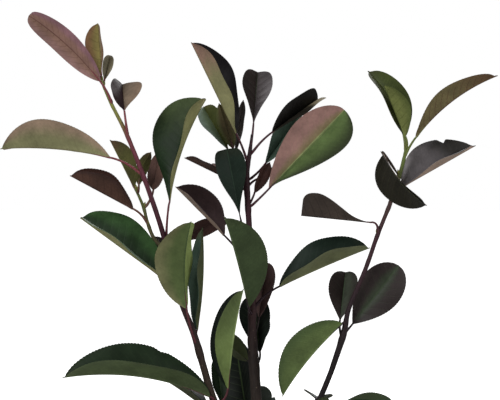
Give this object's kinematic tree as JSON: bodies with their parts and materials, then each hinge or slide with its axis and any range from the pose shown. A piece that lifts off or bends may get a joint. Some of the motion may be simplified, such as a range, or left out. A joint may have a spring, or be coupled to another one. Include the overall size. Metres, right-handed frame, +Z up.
{
  "type": "photinia shrub",
  "caption": "Young evergreen shrub with slim upright stems from one short flared trunk and loose glossy oval leaves, flat at the ground.",
  "frame": {"origin": "centre of the trunk's flat cut at ground level", "axes": "+Z is up along the plant's growth, -Y is the side that the picture shows, and +X is its right"},
  "size_m": [0.4391, 0.2194, 0.4862],
  "materials": {
    "trunk": "dull brown bark",
    "left_bough": "dull brown bark",
    "middle_bough": "dull brown bark",
    "right_bough": "dull brown bark",
    "left_low_leaves": "glossy leaf, matte underneath",
    "left_middle_leaves": "glossy leaf, matte underneath",
    "left_top_leaves": "glossy leaf, matte underneath",
    "left_side_leaves": "glossy leaf, matte underneath",
    "middle_low_leaves": "glossy leaf, matte underneath",
    "middle_leaves": "glossy leaf, matte underneath",
    "middle_top_leaves": "glossy leaf, matte underneath",
    "right_low_leaves": "glossy leaf, matte underneath",
    "right_middle_leaves": "glossy leaf, matte underneath",
    "right_top_leaves": "glossy leaf, matte underneath"
  },
  "bodies": {
    "root": {"trunk": "trunk", "left_bough": "left_bough", "middle_bough": "middle_bough", "right_bough": "right_bough", "left_low_leaves": "left_low_leaves", "left_middle_leaves": "left_middle_leaves", "left_top_leaves": "left_top_leaves", "left_side_leaves": "left_side_leaves", "middle_low_leaves": "middle_low_leaves", "middle_leaves": "middle_leaves", "middle_top_leaves": "middle_top_leaves", "right_low_leaves": "right_low_leaves", "right_middle_leaves": "right_middle_leaves", "right_top_leaves": "right_top_leaves"}
  },
  "joints": []
}
